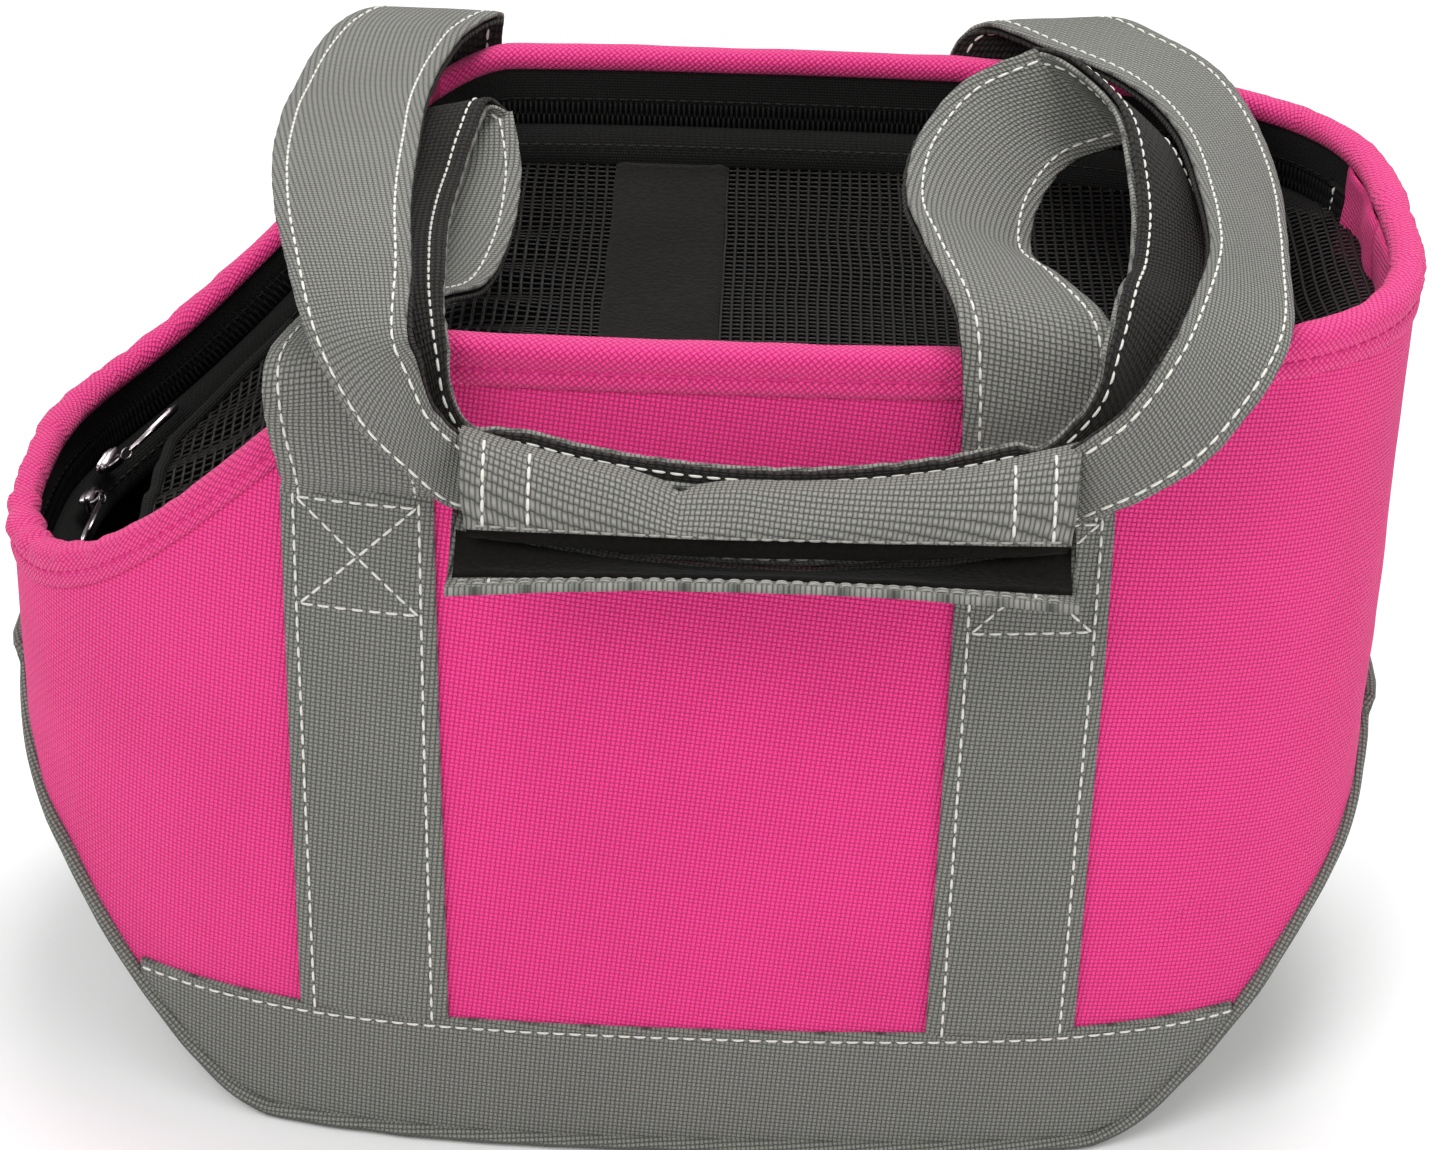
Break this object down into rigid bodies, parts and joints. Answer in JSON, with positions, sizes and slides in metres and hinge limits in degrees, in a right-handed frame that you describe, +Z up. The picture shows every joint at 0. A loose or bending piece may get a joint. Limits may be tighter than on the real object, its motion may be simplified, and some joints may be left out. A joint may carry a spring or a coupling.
{
  "type": "pet carrier bag",
  "caption": "Soft open-top pet tote with a low rounded head end, a zip-in mesh cover, sewn straps and two handles joined in a wrapped grip.",
  "frame": {"origin": "centre of the flat face the bag stands on", "axes": "+X along the bag away from its low head end, +Y to the back, +Z up"},
  "size_m": [0.3048, 0.2069, 0.2212],
  "materials": {
    "pink_fabric": "plain-woven polyester with a soft sheen",
    "gray_fabric": "plain-woven polyester",
    "black_webbing": "ribbed polyester webbing",
    "black_mesh": "open knitted mesh",
    "zip_black": "moulded coil",
    "nickel": "polished nickel plate",
    "hook_loop": "hook-and-loop tape",
    "board": "flat plastic board",
    "pad_fabric": "quilted pad"
  },
  "bodies": {
    "shell": {"front_panel": "pink_fabric", "back_panel": "pink_fabric", "gusset": "gray_fabric", "rim_hem": "pink_fabric", "base_band_front": "gray_fabric", "base_band_back": "gray_fabric", "piping_front": "gray_fabric", "piping_back": "gray_fabric", "front_strap_left": "gray_fabric", "front_strap_right": "gray_fabric", "back_strap_left": "gray_fabric", "back_strap_right": "gray_fabric", "zip_tape": "black_webbing", "zip_teeth": "zip_black", "cover_binding": "black_webbing", "mesh_cover": "black_mesh", "mesh_keeper_band": "hook_loop", "zip_end_tabs": "black_webbing", "base_board": "board", "front_handle_leg_left": "gray_fabric", "front_handle_leg_right": "gray_fabric"},
    "handles": {"back_handle_face": "gray_fabric", "back_handle_webbing": "black_webbing", "front_handle_webbing": "black_webbing", "front_handle_face": "gray_fabric", "grip_spine": "gray_fabric"},
    "grip_upper": {"grip_upper_flap": "gray_fabric", "grip_loop_strip": "hook_loop"},
    "grip_lower": {"grip_lower_flap": "gray_fabric", "grip_hook_strip": "hook_loop"},
    "head_flap": {"head_flap_mesh": "black_mesh", "head_flap_binding": "black_webbing"},
    "slider_back": {"zip_slider_back": "nickel"},
    "pull_back": {"zip_pull_back": "nickel"},
    "slider_front": {"zip_slider_front": "nickel"},
    "pull_front": {"zip_pull_front": "nickel"},
    "pad": {"floor_pad": "pad_fabric"}
  },
  "joints": [
    {"name": "handle_lift", "type": "hinge", "parent": "shell", "child": "handles", "pos_m": [0, 0.086, 0.197], "axis": [-1, 0, 0], "range_deg": [0, 75], "deforming": ["front_handle_leg_left", "front_handle_leg_right"]},
    {"name": "grip_upper_open", "type": "hinge", "parent": "handles", "child": "grip_upper", "pos_m": [0.015, -0.1013, 0.1845], "axis": [-1, 0, 0], "range_deg": [0, 110]},
    {"name": "grip_lower_open", "type": "hinge", "parent": "handles", "child": "grip_lower", "pos_m": [0.015, -0.1013, 0.1635], "axis": [1, 0, 0], "range_deg": [-3, 50]},
    {"name": "head_flap_open", "type": "hinge", "parent": "shell", "child": "head_flap", "pos_m": [-0.088, 0, 0.13971], "axis": [0, 1, 0], "range_deg": [0, 100]},
    {"name": "zip_back_travel", "type": "slide", "parent": "shell", "child": "slider_back", "axis": [0.4181, 0.896, 0.1493], "range_m": [0, 0.008]},
    {"name": "zip_front_travel", "type": "slide", "parent": "shell", "child": "slider_front", "axis": [-0.03, -0.9996, 0], "range_m": [0, 0.012]},
    {"name": "pull_back_swing", "type": "hinge", "parent": "slider_back", "child": "pull_back", "pos_m": [-0.13336, 0.02473, 0.11043], "axis": [0.4782, -0.0774, -0.8748], "range_deg": [0, 110]},
    {"name": "pull_front_swing", "type": "hinge", "parent": "slider_front", "child": "pull_front", "pos_m": [-0.13487, 0.00787, 0.10933], "axis": [-0.4707, 0.0141, 0.8822], "range_deg": [0, 110]},
    {"name": "pad_lift", "type": "slide", "parent": "shell", "child": "pad", "axis": [0, 0, 1], "range_m": [0, 0.06]}
  ]
}
